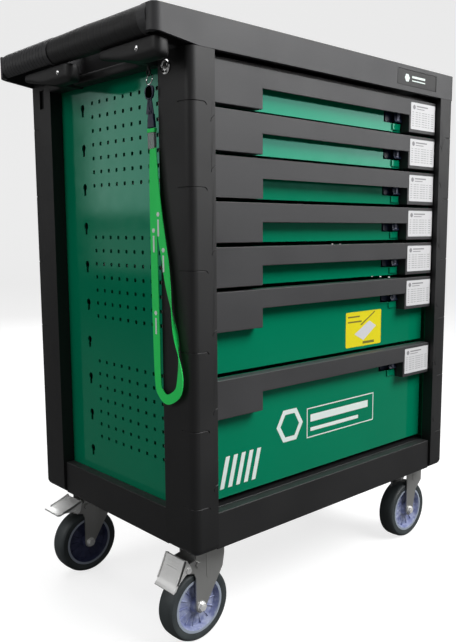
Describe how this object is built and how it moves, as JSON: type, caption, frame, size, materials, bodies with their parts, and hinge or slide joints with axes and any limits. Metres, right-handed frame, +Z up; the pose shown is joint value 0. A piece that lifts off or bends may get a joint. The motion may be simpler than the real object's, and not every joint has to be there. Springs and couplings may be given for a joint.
{
  "type": "tool cart",
  "caption": "Steel workshop tool cart with a stack of sliding drawers, plastic corner bumpers, a recessed worktop, a side handle and casters.",
  "frame": {"origin": "on the floor, under the middle of the cart's overall footprint", "axes": "+X to the right as seen by someone facing the drawers, +Y from the drawer fronts to the back, +Z up"},
  "size_m": [0.7876, 0.495, 1.0165],
  "materials": {
    "green_paint": "smooth semi-gloss powder coat",
    "black_steel": "fine-texture black powder coat",
    "black_plastic": "fine moulded grain",
    "worktop_plastic": "fine satin grain",
    "zinc_steel": "bright zinc plate",
    "chrome": "polished",
    "hub_plastic": "satin moulded plastic",
    "tyre": "smooth solid rubber",
    "strap": "woven polyester strap",
    "label_paper": "printed paper label",
    "sticker": "printed vinyl"
  },
  "bodies": {
    "cabinet": {"side_panel_left": "green_paint", "side_panel_right": "green_paint", "back_panel": "green_paint", "front_top_rail": "black_steel", "base_pan": "black_steel", "base_frame": "black_plastic", "corner_bumper_front_left": "black_plastic", "corner_bumper_front_right": "black_plastic", "corner_bumper_rear_left": "black_plastic", "corner_bumper_rear_right": "black_plastic", "worktop": "worktop_plastic", "handle_grip": "black_plastic", "handle_bracket_front": "black_plastic", "handle_bracket_rear": "black_plastic", "slide_rack_left": "zinc_steel", "slide_rack_right": "zinc_steel", "caster_plate_front_left": "zinc_steel", "caster_plate_rear_left": "zinc_steel", "fork_front_right": "zinc_steel", "fork_rear_right": "zinc_steel", "axle_front_right": "zinc_steel", "axle_rear_right": "zinc_steel"},
    "drawer_1": {"drawer_1_tray": "green_paint", "drawer_1_fascia": "worktop_plastic"},
    "latch_1": {"drawer_1_latch": "zinc_steel"},
    "drawer_2": {"drawer_2_tray": "green_paint", "drawer_2_fascia": "worktop_plastic"},
    "latch_2": {"drawer_2_latch": "zinc_steel"},
    "drawer_3": {"drawer_3_tray": "green_paint", "drawer_3_fascia": "worktop_plastic"},
    "latch_3": {"drawer_3_latch": "zinc_steel"},
    "drawer_4": {"drawer_4_tray": "green_paint", "drawer_4_fascia": "worktop_plastic"},
    "latch_4": {"drawer_4_latch": "zinc_steel"},
    "drawer_5": {"drawer_5_tray": "green_paint", "drawer_5_fascia": "worktop_plastic"},
    "latch_5": {"drawer_5_latch": "zinc_steel"},
    "drawer_6": {"drawer_6_tray": "green_paint", "drawer_6_fascia": "worktop_plastic"},
    "latch_6": {"drawer_6_latch": "zinc_steel"},
    "drawer_7": {"drawer_7_tray": "green_paint", "drawer_7_fascia": "worktop_plastic"},
    "latch_7": {"drawer_7_latch": "zinc_steel"},
    "lock_cylinder": {"lock_cylinder": "chrome"},
    "lock_bar": {"lock_bar": "zinc_steel"},
    "swivel_front_left": {"fork_front_left": "zinc_steel", "axle_front_left": "zinc_steel"},
    "wheel_front_left": {"hub_front_left": "hub_plastic", "tyre_front_left": "tyre"},
    "pedal_front_left": {"brake_pedal_front_left": "zinc_steel"},
    "swivel_rear_left": {"fork_rear_left": "zinc_steel", "axle_rear_left": "zinc_steel"},
    "wheel_rear_left": {"hub_rear_left": "hub_plastic", "tyre_rear_left": "tyre"},
    "pedal_rear_left": {"brake_pedal_rear_left": "zinc_steel"},
    "wheel_front_right": {"hub_front_right": "hub_plastic", "tyre_front_right": "tyre"},
    "wheel_rear_right": {"hub_rear_right": "hub_plastic", "tyre_rear_right": "tyre"},
    "lanyard": {"lanyard": "strap"}
  },
  "joints": [
    {"name": "drawer_1_slide", "type": "slide", "parent": "cabinet", "child": "drawer_1", "axis": [0, -1, 0], "range_m": [0, 0.35]},
    {"name": "latch_1_push", "type": "slide", "parent": "drawer_1", "child": "latch_1", "axis": [-1, 0, 0], "range_m": [0, 0.008]},
    {"name": "drawer_2_slide", "type": "slide", "parent": "cabinet", "child": "drawer_2", "axis": [0, -1, 0], "range_m": [0, 0.35]},
    {"name": "latch_2_push", "type": "slide", "parent": "drawer_2", "child": "latch_2", "axis": [-1, 0, 0], "range_m": [0, 0.008]},
    {"name": "drawer_3_slide", "type": "slide", "parent": "cabinet", "child": "drawer_3", "axis": [0, -1, 0], "range_m": [0, 0.35]},
    {"name": "latch_3_push", "type": "slide", "parent": "drawer_3", "child": "latch_3", "axis": [-1, 0, 0], "range_m": [0, 0.008]},
    {"name": "drawer_4_slide", "type": "slide", "parent": "cabinet", "child": "drawer_4", "axis": [0, -1, 0], "range_m": [0, 0.35]},
    {"name": "latch_4_push", "type": "slide", "parent": "drawer_4", "child": "latch_4", "axis": [-1, 0, 0], "range_m": [0, 0.008]},
    {"name": "drawer_5_slide", "type": "slide", "parent": "cabinet", "child": "drawer_5", "axis": [0, -1, 0], "range_m": [0, 0.35]},
    {"name": "latch_5_push", "type": "slide", "parent": "drawer_5", "child": "latch_5", "axis": [-1, 0, 0], "range_m": [0, 0.008]},
    {"name": "drawer_6_slide", "type": "slide", "parent": "cabinet", "child": "drawer_6", "axis": [0, -1, 0], "range_m": [0, 0.35]},
    {"name": "latch_6_push", "type": "slide", "parent": "drawer_6", "child": "latch_6", "axis": [-1, 0, 0], "range_m": [0, 0.008]},
    {"name": "drawer_7_slide", "type": "slide", "parent": "cabinet", "child": "drawer_7", "axis": [0, -1, 0], "range_m": [0, 0.35]},
    {"name": "latch_7_push", "type": "slide", "parent": "drawer_7", "child": "latch_7", "axis": [-1, 0, 0], "range_m": [0, 0.008]},
    {"name": "lock_cylinder_turn", "type": "hinge", "parent": "cabinet", "child": "lock_cylinder", "pos_m": [-0.31775, -0.1899, 0.9372], "axis": [1, 0, 0], "range_deg": [0, 90]},
    {"name": "lock_bar_lift", "type": "slide", "parent": "cabinet", "child": "lock_bar", "axis": [0, 0, 1], "range_m": [0, 0.01]},
    {"name": "swivel_front_left_turn", "type": "hinge", "parent": "cabinet", "child": "swivel_front_left", "pos_m": [-0.25575, -0.1795, 0.1685], "axis": [0, 0, 1], "continuous": true},
    {"name": "wheel_front_left_roll", "type": "hinge", "parent": "swivel_front_left", "child": "wheel_front_left", "pos_m": [-0.28275, -0.1795, 0.0635], "axis": [0, 1, 0], "continuous": true},
    {"name": "pedal_front_left_press", "type": "hinge", "parent": "swivel_front_left", "child": "pedal_front_left", "pos_m": [-0.31175, -0.1795, 0.1375], "axis": [0, 1, 0], "range_deg": [0, 45]},
    {"name": "swivel_rear_left_turn", "type": "hinge", "parent": "cabinet", "child": "swivel_rear_left", "pos_m": [-0.25575, 0.1795, 0.1685], "axis": [0, 0, 1], "continuous": true},
    {"name": "wheel_rear_left_roll", "type": "hinge", "parent": "swivel_rear_left", "child": "wheel_rear_left", "pos_m": [-0.28275, 0.1795, 0.0635], "axis": [0, 1, 0], "continuous": true},
    {"name": "pedal_rear_left_press", "type": "hinge", "parent": "swivel_rear_left", "child": "pedal_rear_left", "pos_m": [-0.31175, 0.1795, 0.1375], "axis": [0, 1, 0], "range_deg": [-45, 0]},
    {"name": "wheel_front_right_roll", "type": "hinge", "parent": "cabinet", "child": "wheel_front_right", "pos_m": [0.33025, -0.1695, 0.0635], "axis": [0, 1, 0], "continuous": true},
    {"name": "wheel_rear_right_roll", "type": "hinge", "parent": "cabinet", "child": "wheel_rear_right", "pos_m": [0.33025, 0.1695, 0.0635], "axis": [0, 1, 0], "continuous": true},
    {"name": "lanyard_swing", "type": "hinge", "parent": "cabinet", "child": "lanyard", "pos_m": [-0.33575, -0.1555, 0.9325], "axis": [1, 0, 0], "range_deg": [-30, 60]}
  ],
  "couplings": [
    {"joint": "lock_cylinder_turn", "follows": "lock_bar_lift", "rad_per_m": 157}
  ]
}
